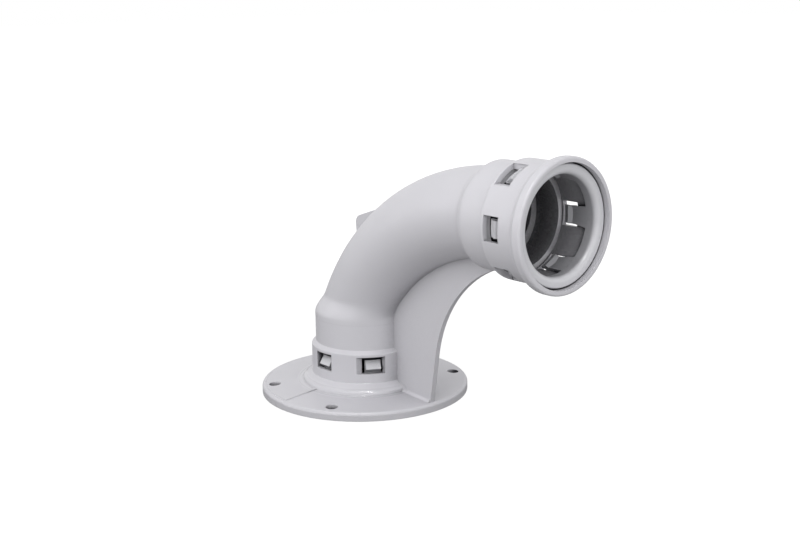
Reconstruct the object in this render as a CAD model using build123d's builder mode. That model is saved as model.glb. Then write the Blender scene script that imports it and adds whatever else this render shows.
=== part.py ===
"""Flanged ninety degree pipe elbow: one moulded body and a snap-in grip ring at each end.

Millimetres. The origin is the middle of the flange underside, +Z is up and the mouth faces +X.
"""

import os
from math import asin, cos, degrees, radians, sin, sqrt, tan

from build123d import *

# Pipe socket, the same at both ends, measured inward from the end face
pipe_r = 25.4
pipe_clearance = 0.1
bore_r = pipe_r + pipe_clearance
wall = 3.0
stop_step = 3.0
socket_r = bore_r + stop_step
seat_step = 3.6
seat_r = socket_r + seat_step
seat_depth = 5.4
socket_depth = 28.4
pipe_bore_length = 15.6
stop_depth = socket_depth + pipe_bore_length
collar_r = socket_r + wall
collar_over = 0.8
collar_end = socket_depth + collar_over
collar_slope = 2.1
neck_wall = 3.5
neck_r = bore_r + neck_wall
neck_start = collar_end + collar_slope
neck_over = 3.4
neck_end = stop_depth + neck_over
shoulder_angle = 40.0
shoulder_knee = 5.0
knee_angle = 20.0
knee_round = 6.0
shoulder_round = 2.6
edge_round = 0.6

# Mounting flange
flange_r = 62.0
flange_edge_t = 5.0
flange_round = 1.8
flange_step = 0.5
bolt_edge = 7.3
bolt_circle_r = flange_r - bolt_edge
bolt_angle = 60.0
bolt_hole_r = 3.5
flange_rise = 1.6
foot_out = 5.7
foot_r = collar_r + foot_out
foot_edge_z = flange_edge_t + flange_rise
foot_height = 5.6
foot_lip = 2.0
foot_round = 1.3
foot_top = foot_edge_z + foot_height

# Mouth
mouth_z = 121.2
mouth_x = 158.9
rim_out = 3.5
rim_r = collar_r + rim_out
rim_over = 3.6
rim_length = seat_depth + rim_over
rim_flare = 4.2
rim_round = 1.3
flare_round = 5.0

# Bend
bend_step = 4.0
tube_bore_r = bore_r - bend_step
tube_r = tube_bore_r + wall
bend_overlap = 1.7
bend_margin = 2.75
bend_lift = 1.1
shoulder_bury = 4.0
mouth_blend = 8.0

# Web under the bend and heel tab over it
web_t = 3.0
web_land = 0.5
web_lean = 5.2
web_low = 35.7
web_back = 37.7
web_bury = 2.7
web_sag = 0.151
web_blend = 2.0
heel_t = 3.0
heel_reach = 10.4
heel_round = 5.0
heel_low = 38.9
heel_tip = 43.1
heel_high = 52.2

# Grip ring
ring_clearance = 0.2
ring_front = 2.7
ring_gap = 0.7
ring_r = seat_r - ring_gap
ring_in_r = bore_r + 0.1
ring_lip = 3.0
ring_edge = 0.8
window_inset = 0.7
window_end = socket_depth - window_inset
window_long = 10.0
window_start = window_end - window_long
sleeve_r = socket_r - ring_clearance
sleeve_end = 10.4
finger_ease = 0.2
finger_out_r = sleeve_r - finger_ease
finger_wall = 1.1
finger_in_r = finger_out_r - finger_wall
finger_short = 2.5
finger_end = window_end - finger_short
finger_half = 4.7
finger_root_half = 5.6
barb_half = 4.4
barb_start = window_start + ring_clearance
barb_rise = 2.5
barb_ridge = barb_start + barb_rise
barb_short = 0.5
barb_end = finger_end - barb_short
barb_inset = 0.7
barb_r = collar_r - barb_inset
tooth_inset = 2.1
tooth_start = window_start + tooth_inset
tooth_long = 2.4
tooth_end = tooth_start + tooth_long
tooth_back = 0.9
tooth_r = bore_r + 0.05
grip_angles = [30.0, 90.0, 150.0, 210.0, 270.0, 330.0]

# Windows for the barbs, four of them cut sideways so that both halves of the mould draw straight
window_half = 6.6
side_window_low = 1.4
side_window_high = 1.1
side_window_in = sleeve_r * cos(radians(30)) - barb_half * sin(radians(30)) - side_window_low
side_window_out = barb_r * cos(radians(30)) + barb_half * sin(radians(30)) + side_window_high
side_window_y = sqrt(collar_r**2 - side_window_out**2) - 0.4

# Bend centre and radius: level at the mouth, its inner side starts just inside the edge of the neck
bend_x = mouth_x - stop_depth + bend_overlap
bend_reach = bend_x - (neck_r - bend_margin)
bend_drop = mouth_z + bend_lift - neck_end
bend_r = (bend_reach**2 + bend_drop**2 - tube_r**2) / (2 * (bend_drop - tube_r))
bend_z = mouth_z + bend_lift - bend_r
bend_start = degrees(asin((neck_end - bend_z) / (bend_r + tube_r))) - 0.5
bore_start = degrees(asin((stop_depth - bend_z) / (bend_r + tube_bore_r))) - 0.1
sleeve_in_r = ring_in_r + (finger_in_r - ring_in_r) * (sleeve_end - ring_front) / (tooth_start - ring_front)
mouth_place = Plane(origin=(mouth_x, 0, mouth_z), x_dir=(0, 0, 1), z_dir=(-1, 0, 0))


def bend_point(angle, radius):
    """Point of the bend plane at an angle up from the level start, at a radius from the bend centre."""
    turn = radians(angle)
    return (bend_x - radius * cos(turn), bend_z + radius * sin(turn))


def corner(profile, x, y):
    """Corner of a profile nearest to a point of its plane."""
    return profile.vertices().sort_by_distance((x, y))[0]


# Space inside one socket: seat for the grip ring, socket, pipe bore and the six windows
with BuildPart() as socket_space:
    with BuildSketch(Plane.XZ):
        with BuildLine():
            Polyline(
                (0, -1),
                (seat_r, -1),
                (seat_r, seat_depth),
                (socket_r, seat_depth),
                (socket_r, socket_depth),
                (bore_r, socket_depth),
                (bore_r, stop_depth),
                (0, stop_depth),
                close=True,
            )
        make_face()
    revolve(axis=Axis.Z)
    window_mid = (window_start + window_end) / 2
    window_tall = window_end - window_start
    side_mid = (side_window_in + side_window_out) / 2
    with Locations((0, 0, window_mid)):
        Box(2 * window_half, 4 * collar_r, window_tall)
    side_run = 2 * collar_r
    side_y = side_window_y + side_run / 2
    side_places = [(sx * side_mid, sy * side_y, window_mid) for sx in (1, -1) for sy in (1, -1)]
    with Locations(side_places):
        Box(side_window_out - side_window_in, side_run, window_tall)

# Body: flange, two sockets, bend, web and heel tab in one moulding
shoulder_r = tube_r - shoulder_bury
shoulder_rise = (neck_r - shoulder_r) / tan(radians(shoulder_angle))
knee_r = neck_r - shoulder_knee * tan(radians(shoulder_angle))
knee_z = neck_end + shoulder_knee
knee_rise = (knee_r - shoulder_r) / tan(radians(knee_angle))
with BuildPart() as elbow_body:
    # Upright leg turned about Z: flange, foot, collar, neck and sloping shoulder
    with BuildSketch(Plane.XZ) as upright:
        with BuildLine():
            Polyline(
                (0, 0),
                (flange_r, 0),
                (flange_r, flange_edge_t),
                (foot_r, foot_edge_z),
                (foot_r, foot_edge_z + foot_lip),
                (collar_r, foot_top),
                (collar_r, collar_end),
                (neck_r, neck_start),
                (neck_r, neck_end),
                (knee_r, knee_z),
                (shoulder_r, knee_z + knee_rise),
                (0, knee_z + knee_rise),
                (0, 0),
            )
        make_face()
        fillet(corner(upright, flange_r, flange_edge_t), flange_round)
        fillet(corner(upright, foot_r, foot_edge_z + foot_lip), foot_round)
        fillet(corner(upright, collar_r, collar_end), edge_round)
        fillet(corner(upright, neck_r, neck_end), shoulder_round)
        fillet(corner(upright, knee_r, knee_z), knee_round)
    revolve(axis=Axis.Z)

    # Bend, a round tube turned about the bend centre
    start_x, start_z = bend_point(bend_start, bend_r)
    start_dir = (sin(radians(bend_start)), 0, cos(radians(bend_start)))
    with BuildSketch(Plane(origin=(start_x, 0, start_z), x_dir=(0, 1, 0), z_dir=start_dir)):
        Circle(tube_r)
    revolve(axis=Axis((bend_x, 0, bend_z), (0, 1, 0)), revolution_arc=90 - bend_start)

    # Level leg turned about the mouth axis: shoulder, neck, collar and flared rim
    with BuildSketch(Plane.XZ) as level:
        with BuildLine():
            Polyline(
                (mouth_x, mouth_z),
                (mouth_x, mouth_z + rim_r),
                (mouth_x - rim_length + rim_flare, mouth_z + rim_r),
                (mouth_x - rim_length, mouth_z + collar_r),
                (mouth_x - collar_end, mouth_z + collar_r),
                (mouth_x - neck_start, mouth_z + neck_r),
                (mouth_x - neck_end, mouth_z + neck_r),
                (mouth_x - neck_end - shoulder_rise, mouth_z + shoulder_r),
                (mouth_x - neck_end - shoulder_rise, mouth_z),
                close=True,
            )
        make_face()
        rim_back = mouth_x - rim_length
        fillet(corner(level, mouth_x, mouth_z + rim_r), rim_round)
        fillet(corner(level, rim_back + rim_flare, mouth_z + rim_r), rim_round)
        fillet(corner(level, rim_back, mouth_z + collar_r), flare_round)
        fillet(corner(level, mouth_x - collar_end, mouth_z + collar_r), edge_round)
        fillet(corner(level, mouth_x - neck_end, mouth_z + neck_r), shoulder_round)
    revolve(axis=Axis((0, 0, mouth_z), (1, 0, 0)))

    # Soft blend where the bend runs into the shoulder of the level leg
    seams = elbow_body.edges().filter_by(GeomType.BSPLINE)
    fillet(seams.filter_by_position(Axis.X, bend_x - 20, bend_x), mouth_blend)

    # Half of the flange top stands a little proud
    with BuildSketch(Plane.YZ):
        with BuildLine():
            Polyline(
                (foot_r - 2.0, foot_edge_z),
                (foot_r - 2.0, foot_edge_z + flange_step),
                (foot_r, foot_edge_z + flange_step),
                (flange_r - 2.5, flange_edge_t + flange_step),
                (flange_r - 2.2, flange_edge_t - 1.0),
                (foot_r - 2.0, flange_edge_t - 1.0),
                close=True,
            )
        make_face()
    revolve(axis=Axis.Z, revolution_arc=180)

    # Web between the flange and the underside of the bend
    web_foot = (flange_r - flange_round - web_land, flange_edge_t - 1.5)
    web_start = (web_foot[0] + web_lean, web_low)
    web_stop = (mouth_x - web_back, mouth_z - neck_r + web_bury)
    web_run = (web_stop[0] - web_start[0], web_stop[1] - web_start[1])
    web_crest = (
        (web_start[0] + web_stop[0]) / 2 - web_sag * web_run[1],
        (web_start[1] + web_stop[1]) / 2 + web_sag * web_run[0],
    )
    with BuildSketch(Plane.XZ):
        with BuildLine():
            Line(web_foot, web_start)
            ThreePointArc(web_start, web_crest, web_stop)
            Polyline(
                web_stop,
                (web_stop[0], mouth_z),
                bend_point(84, bend_r),
                bend_point(64, bend_r),
                bend_point(44, bend_r),
                (0, neck_end),
                (0, web_foot[1]),
                web_foot,
            )
        make_face()
    extrude(amount=web_t / 2, both=True)

    # Small hollow blend along both faces of the web where it stands on the flange
    flange_fall = (foot_edge_z - flange_edge_t) / (flange_r - foot_r)
    blend_from = (collar_r, 0, foot_edge_z + flange_fall * (foot_r - collar_r))
    blend_way = (1, 0, -flange_fall)
    blend_run = (web_foot[0] - web_land - collar_r) * sqrt(1 + flange_fall**2)
    web_face = web_t / 2
    with BuildSketch(Plane(origin=blend_from, x_dir=(0, 1, 0), z_dir=blend_way)):
        with BuildLine():
            Polyline(
                (web_face, web_blend),
                (0, web_blend),
                (0, -1),
                (web_face + web_blend, -1),
                (web_face + web_blend, -0.05),
            )
            RadiusArc((web_face + web_blend, -0.05), (web_face, web_blend), web_blend)
        make_face()
        mirror(about=Plane.YZ)
    extrude(amount=blend_run)

    # Heel tab on the outside of the bend
    tube_back = bend_r + tube_r
    with BuildSketch(Plane.XZ) as heel:
        with BuildLine():
            Polyline(
                bend_point(heel_low, bend_r),
                bend_point(heel_low, tube_back - 1.7),
                bend_point(heel_tip, tube_back + heel_reach),
                bend_point(heel_high, tube_back - 0.5),
                bend_point(heel_high, bend_r),
                close=True,
            )
        make_face()
        fillet(corner(heel, *bend_point(heel_tip, tube_back + heel_reach)), heel_round)
    extrude(amount=heel_t / 2, both=True)

    # Hollow: both sockets and the bore of the bend
    add(socket_space.part, mode=Mode.SUBTRACT)
    add(socket_space.part.moved(Location(mouth_place)), mode=Mode.SUBTRACT)
    bore_x, bore_z = bend_point(bore_start, bend_r)
    bore_dir = (sin(radians(bore_start)), 0, cos(radians(bore_start)))
    with BuildSketch(Plane(origin=(bore_x, 0, bore_z), x_dir=(0, 1, 0), z_dir=bore_dir)):
        Circle(tube_bore_r)
    revolve(
        axis=Axis((bend_x, 0, bend_z), (0, 1, 0)),
        revolution_arc=90 - bore_start,
        mode=Mode.SUBTRACT,
    )

    # Four bolt holes through the flange
    with BuildSketch(Plane.XY):
        for turn in (bolt_angle, 180 - bolt_angle, -bolt_angle, bolt_angle - 180):
            with PolarLocations(bolt_circle_r, 1, start_angle=turn):
                Circle(bolt_hole_r)
    extrude(amount=3 * flange_edge_t, both=True, mode=Mode.SUBTRACT)

# One finger of a grip ring: a strip of the tapered sleeve, narrowed to its tip, with a barb and a tooth
with BuildPart() as finger:
    with BuildSketch(Plane.XZ):
        Polygon(
            (sleeve_in_r + 0.05, sleeve_end),
            (sleeve_in_r + 0.4, sleeve_end - 1.0),
            (finger_out_r, sleeve_end - 1.0),
            (finger_out_r, finger_end),
            (finger_in_r, finger_end),
            (finger_in_r, tooth_start),
            align=None,
        )
    revolve(axis=Axis.Z)
    with BuildSketch(Plane.YZ):
        Polygon(
            (-finger_root_half, sleeve_end - 2.0),
            (finger_root_half, sleeve_end - 2.0),
            (finger_root_half, sleeve_end),
            (finger_half, window_start),
            (finger_half, finger_end + 1.0),
            (-finger_half, finger_end + 1.0),
            (-finger_half, window_start),
            (-finger_root_half, sleeve_end),
            align=None,
        )
    extrude(amount=collar_r, mode=Mode.INTERSECT)
    with BuildSketch(Plane.XZ):
        Polygon(
            (sleeve_r - 0.8, barb_start),
            (sleeve_r - 0.4, barb_start),
            (barb_r, barb_ridge),
            (sleeve_r - 0.4, barb_end),
            (sleeve_r - 0.8, barb_end),
            align=None,
        )
    extrude(amount=barb_half, both=True)
    with BuildSketch(Plane.XZ):
        Polygon(
            (finger_in_r + 0.4, tooth_start),
            (finger_in_r, tooth_start),
            (tooth_r, tooth_end),
            (finger_in_r, tooth_end + tooth_back),
            (finger_in_r + 0.4, tooth_end + tooth_back),
            align=None,
        )
    extrude(amount=finger_half, both=True)

# Grip ring at the flange end: lipped front ring, sleeve and six barbed fingers
with BuildPart() as base_ring:
    with BuildSketch(Plane.XZ) as ring_profile:
        with BuildLine():
            Polyline(
                (ring_in_r, ring_front),
                (ring_r, ring_front),
                (ring_r, seat_depth),
                (sleeve_r, seat_depth),
                (sleeve_r, sleeve_end),
                (sleeve_in_r, sleeve_end),
                close=True,
            )
        make_face()
        fillet(corner(ring_profile, ring_in_r, ring_front), ring_lip)
        fillet(corner(ring_profile, ring_r, ring_front), ring_edge)
    revolve(axis=Axis.Z)
    for turn in grip_angles:
        add(finger.part.rotate(Axis.Z, turn))

# Grip ring at the mouth, the same moulding turned to face +X
with BuildPart() as mouth_ring:
    add(base_ring.part.moved(Location(mouth_place)))

os.makedirs("parts", exist_ok=True)
elbow_body.part.label = "elbow_body"
base_ring.part.label = "base_ring"
mouth_ring.part.label = "mouth_ring"
export_step(elbow_body.part, "parts/elbow_body.step")
export_step(base_ring.part, "parts/base_ring.step")
export_step(mouth_ring.part, "parts/mouth_ring.step")
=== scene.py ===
"""Looks of a flanged snap-lock pipe elbow: moulded grey plastics, studio light, floor and camera.

Metres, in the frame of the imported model: the origin is the middle of the flange underside,
+Z is up and the mouth faces +X.
"""

import math

import bpy
import numpy as np
from mathutils import Matrix, Vector


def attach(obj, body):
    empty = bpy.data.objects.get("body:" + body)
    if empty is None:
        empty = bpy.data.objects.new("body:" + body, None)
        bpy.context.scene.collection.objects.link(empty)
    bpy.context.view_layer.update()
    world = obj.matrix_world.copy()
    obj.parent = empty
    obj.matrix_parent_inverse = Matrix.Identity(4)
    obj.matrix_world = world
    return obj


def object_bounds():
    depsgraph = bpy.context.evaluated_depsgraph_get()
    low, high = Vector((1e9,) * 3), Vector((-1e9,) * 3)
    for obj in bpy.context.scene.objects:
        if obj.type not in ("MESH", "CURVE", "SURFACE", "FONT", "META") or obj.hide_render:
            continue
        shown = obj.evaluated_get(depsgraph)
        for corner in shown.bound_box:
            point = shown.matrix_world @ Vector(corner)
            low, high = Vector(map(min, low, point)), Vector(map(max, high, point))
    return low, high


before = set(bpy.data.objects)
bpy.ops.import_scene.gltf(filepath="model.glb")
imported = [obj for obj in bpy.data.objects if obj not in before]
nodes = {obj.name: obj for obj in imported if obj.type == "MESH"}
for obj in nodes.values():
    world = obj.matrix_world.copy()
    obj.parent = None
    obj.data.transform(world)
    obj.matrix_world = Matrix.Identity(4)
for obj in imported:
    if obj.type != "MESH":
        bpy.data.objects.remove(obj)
cad_low, cad_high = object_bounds()
flange_radius = -cad_low[0]

# Camera, as found from the flange and mouth ellipses of the photograph, in degrees, metres and pixels
VIEW_AZIMUTH = 48.77
VIEW_ELEVATION = 13.15
VIEW_ROLL = -0.71
VIEW_DISTANCE = 0.75454
VIEW_RIGHT = 0.02112
VIEW_UP = 0.07279
FOCAL_PIXELS = 1240.6
IMAGE_WIDTH = 800
SENSOR_MM = 36.0
CLIP_NEAR = 0.01
CLIP_FAR = 50.0

# Light: a white tent, and soft boxes as azimuth, elevation, distance and size in metres and power in
# watts, all aimed at the middle of the object and none lower than LOWEST_BOX
TENT_LIGHT = 0.79
LIGHT_CENTRE = (0.045, 0.0, 0.07)
LOWEST_BOX = 0.42
SOFT_BOXES = {
    "glint_over_camera": (317, 62, 1.4, 0.16, 9.0),
    "near_mouth": (292, 42, 0.5, 0.3, 0.75),
    "mouth_front": (345, 15, 1.4, 0.8, 4.2),
    "camera_left_low": (300, 8, 1.4, 0.8, 0.5),
    "left_low": (270, 8, 1.4, 0.8, 0.8),
    "back_left_low": (225, 8, 1.4, 0.8, 2.1),
}

# Moulded plastic: sizes of its patterns, with the detail and seed step of each. The mould grain is really
# about 0.15 mm, and is drawn at 0.8 mm so that it shows in the render
PATTERNS = {
    "clouds": (0.045, 3.0, 0.0),
    "drifts": (0.014, 2.0, 3.0),
    "grain": (0.0008, 2.0, 7.0),
}
NOISE_LOW = 0.3
NOISE_HIGH = 0.7
GLOSS_DRIFT = 0.04
GRAIN_STRENGTH = 0.06
GRAIN_DEPTH = 0.0002
PLASTIC_IOR = 1.5
OPEN_SPECULAR = 0.5
HOLLOW_REACH = 0.12
HOLLOW_SAMPLES = 8
EDGE_SAMPLES = 6
EDGE_FLAT = 0.99
EDGE_TURNED = 0.9
EDGE_ROUGH_SHARE = 0.5
BAND_CORE = 0.6

# Seams of the body that the mould maker blended, as the middle and half size of a box and a radius:
# bend into mouth neck, mouth flare, foot of the base
BODY_SEAMS = (
    ((0.113, 0.0, 0.122), (0.009, 0.05, 0.026), 0.006),
    ((0.1475, 0.0, 0.1212), (0.004, 0.05, 0.05), 0.003),
    ((0.0, 0.0, 0.0078), (0.042, 0.042, 0.0022), 0.0025),
)
# The foot of the base collar, where the mould's polished insert meets the flange: radius, height, reach
# and roughness
FOOT_GLOSS = (0.0372, 0.0076, 0.004, 0.12)

# Shoulder blend between the base neck and the bend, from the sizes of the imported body
NECK_RADIUS = 0.029
TUBE_RADIUS = 0.0245
BEND_RADIUS = 0.13068
BEND_CENTRE = (0.1166, -0.00838)
BLEND_FOOT = 0.0455
BLEND_LOW = 0.0482
BLEND_HIGH = 0.0595
BLEND_LEAD = (0.0, 0.0005, 0.0006)
BLEND_TAIL = (0.0001, 0.0008)
BLEND_PROUD = 0.00004
BLEND_WALL = 0.0008
SLOPE_STEP = 0.0002
HALVINGS = 40

# Floor: its size, its greys for the light it throws back, with a darker grey painted as shade under and
# round the flange, and its glow to the camera
FLOOR_DROP = 0.0002
FLOOR_HALF = 6.0
FLOOR_GREY = "#B4B4B4"
# Painted shade: the floor's grey under and next to the flange
PAINTED_SHADE_GREY = "#808080"
FLANGE_COVER = 0.002
UNDER_FLANGE = flange_radius - FLANGE_COVER
PAPER_LIT = 0.3
FLOOR_GLOW = 1.16
SHADOW_SHARE = 0.15
SHADOW_NEAR = 0.16
SHADOW_FAR = 0.42
WHITE = (1.0, 1.0, 1.0, 1.0)


def linear(hex_colour):
    """Linear red, green, blue and alpha of an sRGB hex colour."""
    digits = hex_colour.lstrip("#")
    channels = [int(digits[i : i + 2], 16) / 255 for i in (0, 2, 4)]
    curve = [c / 12.92 if c <= 0.04045 else ((c + 0.055) / 1.055) ** 2.4 for c in channels]
    return (*curve, 1.0)


def add(tree, kind, values=None, links=None, **settings):
    """Adds one node, sets its properties and input values, and links outputs to its inputs."""
    made = tree.nodes.new(kind)
    for name, value in settings.items():
        setattr(made, name, value)
    for name, value in (values or {}).items():
        made.inputs[name].default_value = value
    for name, source in (links or {}).items():
        tree.links.new(source, made.inputs[name])
    return made


def new_material(name):
    """An empty node material and its tree."""
    made = bpy.data.materials.new(name)
    made.use_nodes = True
    made.node_tree.nodes.clear()
    return made, made.node_tree


def polished_band(tree, place, rough, gloss):
    """Roughness with a polished band round the upright axis: the band's own roughness within its reach of
    a circle of the band's radius and height, easing out to the roughness around it."""
    band_radius, band_height, band_reach, band_rough = gloss
    level = add(tree, "ShaderNodeVectorMath", {1: (1.0, 1.0, 0.0)}, {0: place}, operation="MULTIPLY")
    out = add(tree, "ShaderNodeVectorMath", links={0: level.outputs[0]}, operation="LENGTH")
    axes = add(tree, "ShaderNodeSeparateXYZ", links={0: place})
    spot = add(
        tree,
        "ShaderNodeCombineXYZ",
        links={"X": out.outputs["Value"], "Y": axes.outputs["Z"]},
    )
    apart = add(
        tree,
        "ShaderNodeVectorMath",
        {1: (band_radius, band_height, 0.0)},
        {0: spot.outputs[0]},
        operation="DISTANCE",
    )
    polish = add(
        tree,
        "ShaderNodeMapRange",
        {"From Min": BAND_CORE * band_reach, "From Max": band_reach, "To Min": 1.0, "To Max": 0.0},
        {"Value": apart.outputs["Value"]},
    )
    return add(
        tree,
        "ShaderNodeMix",
        {3: band_rough},
        {0: polish.outputs["Result"], 2: rough},
        data_type="FLOAT",
    ).outputs[0]


def soft_edges(tree, place, edge_round, seams):
    """Normal of edges as a mould leaves them, never knife sharp: rounded by edge_round everywhere, and by
    the seam's radius inside the box of each seam, easing off over that radius outside it."""
    edges = add(tree, "ShaderNodeBevel", {"Radius": edge_round}, samples=EDGE_SAMPLES)
    for middle, half_size, radius in seams:
        offset = add(tree, "ShaderNodeVectorMath", {1: middle}, {0: place}, operation="SUBTRACT")
        apart = add(tree, "ShaderNodeVectorMath", links={0: offset.outputs[0]}, operation="ABSOLUTE")
        beyond = add(
            tree,
            "ShaderNodeVectorMath",
            {1: half_size},
            {0: apart.outputs[0]},
            operation="SUBTRACT",
        )
        axes = add(tree, "ShaderNodeSeparateXYZ", links={0: beyond.outputs[0]})
        level_furthest = add(
            tree,
            "ShaderNodeMath",
            links={0: axes.outputs["X"], 1: axes.outputs["Y"]},
            operation="MAXIMUM",
        )
        furthest = add(
            tree,
            "ShaderNodeMath",
            links={0: level_furthest.outputs[0], 1: axes.outputs["Z"]},
            operation="MAXIMUM",
        )
        softness = add(
            tree,
            "ShaderNodeMapRange",
            {"From Min": 0.0, "From Max": radius, "To Min": radius, "To Max": edge_round},
            {"Value": furthest.outputs[0]},
        )
        widest = add(tree, "ShaderNodeMath", {1: edge_round}, {0: softness.outputs[0]}, operation="MAXIMUM")
        if edges.inputs["Radius"].is_linked:
            tree.links.new(edges.inputs["Radius"].links[0].from_socket, widest.inputs[1])
        tree.links.new(widest.outputs[0], edges.inputs["Radius"])
    return edges.outputs["Normal"]


def moulded_plastic(name, colour_hex, deep_hex, hollow, roughness, edge_round, seed, seams=(), gloss=None):
    """Injection moulded plastic from a spark-eroded steel mould: a satin skin with a fine even grain, and
    faint clouds of colour and drifts of gloss where the melt flowed. Where the walls of a hollow face each
    other, painted shade makes the colour a deeper grey and takes the shine off, standing in for the light
    that doesn't get in there: hollow gives that painted grey and the open share of the sky where the
    painted shade starts and ends. seams and gloss are as in BODY_SEAMS and FOOT_GLOSS."""
    made, tree = new_material(name)
    place = add(tree, "ShaderNodeTexCoord").outputs["Object"]
    noise = {}
    for pattern, (size, detail, seed_step) in PATTERNS.items():
        noise[pattern] = add(
            tree,
            "ShaderNodeTexNoise",
            {"Scale": 1 / size, "Detail": detail, "W": seed + seed_step},
            {"Vector": place},
            noise_dimensions="4D",
        ).outputs["Fac"]

    cloud_share = add(
        tree,
        "ShaderNodeMapRange",
        {"From Min": NOISE_LOW, "From Max": NOISE_HIGH},
        {"Value": noise["clouds"]},
    )
    colour = add(
        tree,
        "ShaderNodeMix",
        {6: linear(colour_hex), 7: linear(deep_hex)},
        {0: cloud_share.outputs["Result"]},
        data_type="RGBA",
    )
    # Painted shade: the less open sky the ambient occlusion finds, the more the colour is mixed to the
    # hollow grey and the specular level lowered
    painted_shade_hex, hollow_closed, hollow_open = hollow
    openness = add(tree, "ShaderNodeAmbientOcclusion", {"Distance": HOLLOW_REACH}, samples=HOLLOW_SAMPLES)
    open_share = add(
        tree,
        "ShaderNodeMapRange",
        {"From Min": hollow_closed, "From Max": hollow_open},
        {"Value": openness.outputs["AO"]},
    )
    skin = add(
        tree,
        "ShaderNodeMix",
        {6: linear(painted_shade_hex)},
        {0: open_share.outputs["Result"], 7: colour.outputs[2]},
        data_type="RGBA",
    )
    specular = add(
        tree,
        "ShaderNodeMath",
        {1: OPEN_SPECULAR},
        {0: open_share.outputs["Result"]},
        operation="MULTIPLY",
    )

    rough = add(
        tree,
        "ShaderNodeMapRange",
        {
            "From Min": NOISE_LOW,
            "From Max": NOISE_HIGH,
            "To Min": roughness - GLOSS_DRIFT,
            "To Max": roughness + GLOSS_DRIFT,
        },
        {"Value": noise["drifts"]},
    ).outputs["Result"]
    if gloss:
        rough = polished_band(tree, place, rough, gloss)
    # Rounded edges come off the polished corners of the mould, and shine more than the flats
    edge_normal = soft_edges(tree, place, edge_round, seams)
    flat = add(tree, "ShaderNodeNewGeometry")
    facing = add(
        tree,
        "ShaderNodeVectorMath",
        links={0: edge_normal, 1: flat.outputs["Normal"]},
        operation="DOT_PRODUCT",
    )
    burnish = add(
        tree,
        "ShaderNodeMapRange",
        {"From Min": EDGE_FLAT, "From Max": EDGE_TURNED},
        {"Value": facing.outputs["Value"]},
    )
    rough = add(
        tree,
        "ShaderNodeMix",
        {3: EDGE_ROUGH_SHARE * roughness},
        {0: burnish.outputs["Result"], 2: rough},
        data_type="FLOAT",
    ).outputs[0]
    bump = add(
        tree,
        "ShaderNodeBump",
        {"Strength": GRAIN_STRENGTH, "Distance": GRAIN_DEPTH},
        {"Height": noise["grain"], "Normal": edge_normal},
    )
    shader = add(
        tree,
        "ShaderNodeBsdfPrincipled",
        {"IOR": PLASTIC_IOR},
        {
            "Base Color": skin.outputs[2],
            "Roughness": rough,
            "Specular IOR Level": specular.outputs["Value"],
            "Normal": bump.outputs["Normal"],
        },
    )
    add(tree, "ShaderNodeOutputMaterial", links={"Surface": shader.outputs["BSDF"]})
    return made


def finish_node(node_name, material):
    """Gives a CAD node its finish."""
    mesh = nodes[node_name].data
    mesh.materials.clear()
    mesh.materials.append(material)


# ABS of the body: light grey, satin, with its polished foot and blended seams
body_skin = moulded_plastic(
    "moulded_grey_abs",
    colour_hex="#C6C5CA",
    deep_hex="#C2C1C6",
    # Painted shade: deep in the bores and windows the colour is painted near black and dull, for the light
    # that doesn't reach in
    hollow=("#1A1A1E", 0.1, 0.42),
    roughness=0.4,
    edge_round=0.0005,
    seed=1.0,
    seams=BODY_SEAMS,
    gloss=FOOT_GLOSS,
)
# Acetal of the grip rings: a shade lighter and slicker, with crisper edges
ring_skin = moulded_plastic(
    "moulded_grey_acetal",
    colour_hex="#CACACE",
    deep_hex="#C6C6CA",
    # Painted shade: in the fingers, slots and windows of the rings the colour is painted a mid grey and
    # dull
    hollow=("#7A7A7E", 0.1, 0.65),
    roughness=0.34,
    edge_round=0.0003,
    seed=5.0,
)
finish_node("elbow_body", body_skin)
finish_node("base_ring", ring_skin)
finish_node("mouth_ring", ring_skin)


def bend_reach(azimuth, height):
    """Distance from the upright axis out to the skin of the bend, at azimuths and heights. The bend is a
    torus: its tube radius squared is the distance y from the bend plane squared, plus the distance in that
    plane from the bend circle squared. The crossing of a level ray from the axis is found by halving."""
    centre_x, centre_z = BEND_CENTRE
    near = np.zeros(np.broadcast(azimuth, height).shape)
    far = near + 2 * TUBE_RADIUS
    for _ in range(HALVINGS):
        middle = (near + far) / 2
        in_plane = np.hypot(middle * np.cos(azimuth) - centre_x, height - centre_z) - BEND_RADIUS
        inside = np.hypot(in_plane, middle * np.sin(azimuth)) < TUBE_RADIUS
        near = np.where(inside, middle, near)
        far = np.where(inside, far, middle)
    return near


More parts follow.
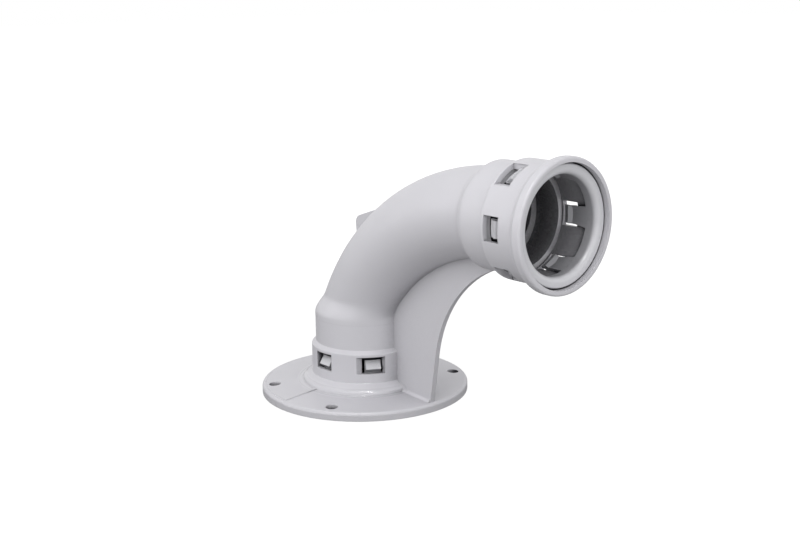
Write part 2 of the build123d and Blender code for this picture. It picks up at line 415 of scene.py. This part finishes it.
def shoulder_blend(around=192, rows=24):
    """Skin that leads the base neck into the bend. At every azimuth the distance from the axis is a cubic
    of the height that leaves the neck straight up and meets the bend along the bend's own slope. Both ends
    sink into the body, and a second skin behind the first closes the piece."""
    azimuth = np.linspace(0.0, 2 * np.pi, around, endpoint=False)[None, :]
    share = np.linspace(0.0, 1.0, rows)[:, None]
    run = BLEND_HIGH - BLEND_LOW
    end = bend_reach(azimuth, BLEND_HIGH)
    slope = (bend_reach(azimuth, BLEND_HIGH + SLOPE_STEP) - end) / SLOPE_STEP
    rise = share**2 * (3 - 2 * share)
    reach = NECK_RADIUS + rise * (end - NECK_RADIUS) + share**2 * (share - 1) * run * slope
    height = BLEND_LOW + share * run + 0 * azimuth
    lead = np.array(BLEND_LEAD)[:, None] + 0 * azimuth
    neck = np.full_like(lead, NECK_RADIUS)
    above = BLEND_HIGH + np.array(BLEND_TAIL)[:, None]
    reach = np.vstack([neck, reach, bend_reach(azimuth, above)]) + BLEND_PROUD
    height = np.vstack([BLEND_FOOT + lead, height, above + 0 * azimuth])
    reach[[0, -1]] -= BLEND_WALL / 2
    reach = np.vstack([reach, reach[::-1] - BLEND_WALL])
    height = np.vstack([height, height[::-1]])
    points = np.stack([reach * np.cos(azimuth), reach * np.sin(azimuth), height], axis=-1)
    count = len(reach)
    index = np.arange(count * around).reshape(count, around)
    right = np.roll(index, -1, axis=1)
    up = np.roll(index, -1, axis=0)
    both = np.roll(right, -1, axis=0)
    quads = np.stack([index, right, both, up], axis=-1).reshape(-1, 4)
    mesh = bpy.data.meshes.new("shoulder_blend")
    mesh.from_pydata(points.reshape(-1, 3).tolist(), [], quads.tolist())
    mesh.polygons.foreach_set("use_smooth", np.ones(len(quads), dtype=bool))
    mesh.materials.append(body_skin)
    piece = bpy.data.objects.new("shoulder_blend", mesh)
    bpy.context.scene.collection.objects.link(piece)
    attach(piece, "root")


shoulder_blend()


def soft_box(name, azimuth, elevation, distance, size, power):
    """A square lamp on a sphere round the object, at an azimuth from +X and an elevation in degrees."""
    turn, rise = math.radians(azimuth), math.radians(elevation)
    way = Vector((math.cos(turn) * math.cos(rise), math.sin(turn) * math.cos(rise), math.sin(rise)))
    centre = Vector(LIGHT_CENTRE)
    data = bpy.data.lights.new(name, "AREA")
    data.shape = "SQUARE"
    data.size = size
    data.energy = power
    lamp = bpy.data.objects.new(name, data)
    bpy.context.scene.collection.objects.link(lamp)
    lamp.location = centre + distance * way
    lamp.location.z = max(lamp.location.z, LOWEST_BOX)
    lamp.rotation_mode = "QUATERNION"
    lamp.rotation_quaternion = (centre - lamp.location).to_track_quat("-Z", "Y")


for box_name, box in SOFT_BOXES.items():
    soft_box(box_name, *box)
# The small one only shows in reflections
bpy.data.objects["glint_over_camera"].visible_diffuse = False


def white_studio():
    """World: plain ambient light for the object, white where the camera or a clear reflection sees it."""
    world = bpy.data.worlds.new("white_studio")
    bpy.context.scene.world = world
    world.use_nodes = True
    tree = world.node_tree
    tree.nodes.clear()
    path = add(tree, "ShaderNodeLightPath")
    mirrored = add(
        tree,
        "ShaderNodeMath",
        links={0: path.outputs["Is Glossy Ray"], 1: path.outputs["Diffuse Depth"]},
        operation="SUBTRACT",
        use_clamp=True,
    )
    direct = add(
        tree,
        "ShaderNodeMath",
        links={0: path.outputs["Is Camera Ray"], 1: mirrored.outputs["Value"]},
        operation="MAXIMUM",
    )
    seen = add(
        tree,
        "ShaderNodeMath",
        links={0: direct.outputs["Value"], 1: path.outputs["Is Transmission Ray"]},
        operation="MAXIMUM",
    )
    level = add(
        tree,
        "ShaderNodeMapRange",
        {"To Min": TENT_LIGHT, "To Max": 1.0},
        {"Value": seen.outputs["Value"]},
    )
    sky = add(
        tree,
        "ShaderNodeBackground",
        {"Color": WHITE},
        {"Strength": level.outputs["Result"]},
    )
    add(tree, "ShaderNodeOutputWorld", links={"Surface": sky.outputs["Background"]})


white_studio()


def white_paper():
    """Paper that is white to the camera and keeps a faint shadow round the object. Under the flange it has
    no glow and its colour is a darker grey painted as shade, and from there outwards that painted shade
    fades, so the light it throws back rises from the darker grey to the floor's."""
    paper, tree = new_material("white_paper")
    path = add(tree, "ShaderNodeLightPath")
    place = add(tree, "ShaderNodeTexCoord").outputs["Object"]
    reach = add(tree, "ShaderNodeVectorMath", links={0: place}, operation="LENGTH")
    far_glow = add(
        tree,
        "ShaderNodeMapRange",
        {"From Min": SHADOW_NEAR, "From Max": SHADOW_FAR, "To Min": 1.0 - SHADOW_SHARE, "To Max": 1.0},
        {"Value": reach.outputs["Value"]},
    )
    uncovered = add(
        tree,
        "ShaderNodeMath",
        {1: UNDER_FLANGE},
        {0: reach.outputs["Value"]},
        operation="GREATER_THAN",
    )
    glow_share = add(
        tree,
        "ShaderNodeMath",
        links={0: far_glow.outputs["Result"], 1: uncovered.outputs["Value"]},
        operation="MULTIPLY",
    )
    seen = add(
        tree,
        "ShaderNodeMath",
        links={0: glow_share.outputs["Value"], 1: path.outputs["Is Camera Ray"]},
        operation="MULTIPLY",
    )
    # Painted shade: the paper's colour is darker under the flange and lightens out to PAPER_LIT
    lit_share = add(
        tree,
        "ShaderNodeMapRange",
        {"From Min": UNDER_FLANGE, "From Max": PAPER_LIT},
        {"Value": reach.outputs["Value"]},
    )
    paper_with_painted_shade = add(
        tree,
        "ShaderNodeMix",
        {6: linear(PAINTED_SHADE_GREY), 7: linear(FLOOR_GREY)},
        {0: lit_share.outputs["Result"]},
        data_type="RGBA",
    )
    sheet = add(tree, "ShaderNodeBsdfDiffuse", links={"Color": paper_with_painted_shade.outputs[2]})
    glow = add(tree, "ShaderNodeEmission", {"Color": WHITE, "Strength": FLOOR_GLOW})
    paper_mix = add(
        tree,
        "ShaderNodeMixShader",
        links={0: seen.outputs["Value"], 1: sheet.outputs["BSDF"], 2: glow.outputs["Emission"]},
    )
    add(tree, "ShaderNodeOutputMaterial", links={"Surface": paper_mix.outputs["Shader"]})
    return paper


floor_mesh = bpy.data.meshes.new("floor")
floor_corners = [
    (side_x * FLOOR_HALF, side_y * FLOOR_HALF, -FLOOR_DROP)
    for side_x, side_y in ((-1, -1), (1, -1), (1, 1), (-1, 1))
]
floor_mesh.from_pydata(floor_corners, [], [(0, 1, 2, 3)])
floor_mesh.materials.append(white_paper())
floor = bpy.data.objects.new("floor", floor_mesh)
bpy.context.scene.collection.objects.link(floor)


def look_camera():
    """Camera at the photograph's angle: turned round Z by the azimuth, raised by the elevation, rolled
    about its own axis, then drawn back and panned along its own axes."""
    azimuth, elevation, roll = (math.radians(a) for a in (VIEW_AZIMUTH, VIEW_ELEVATION, VIEW_ROLL))
    right = Vector((math.cos(azimuth), math.sin(azimuth), 0.0))
    back = Vector(
        (
            math.sin(azimuth) * math.cos(elevation),
            -math.cos(azimuth) * math.cos(elevation),
            math.sin(elevation),
        )
    )
    up = back.cross(right)
    turned_right = math.cos(roll) * right + math.sin(roll) * up
    turned_up = math.cos(roll) * up - math.sin(roll) * right
    place = VIEW_DISTANCE * back + VIEW_RIGHT * turned_right + VIEW_UP * turned_up
    data = bpy.data.cameras.new("camera")
    data.sensor_width = SENSOR_MM
    data.lens = FOCAL_PIXELS / IMAGE_WIDTH * SENSOR_MM
    data.clip_start = CLIP_NEAR
    data.clip_end = CLIP_FAR
    camera = bpy.data.objects.new("camera", data)
    bpy.context.scene.collection.objects.link(camera)
    axes = Matrix((turned_right, turned_up, back)).transposed().to_4x4()
    camera.matrix_world = Matrix.Translation(place) @ axes
    bpy.context.scene.camera = camera


look_camera()
bpy.context.scene.view_settings.view_transform = "Standard"
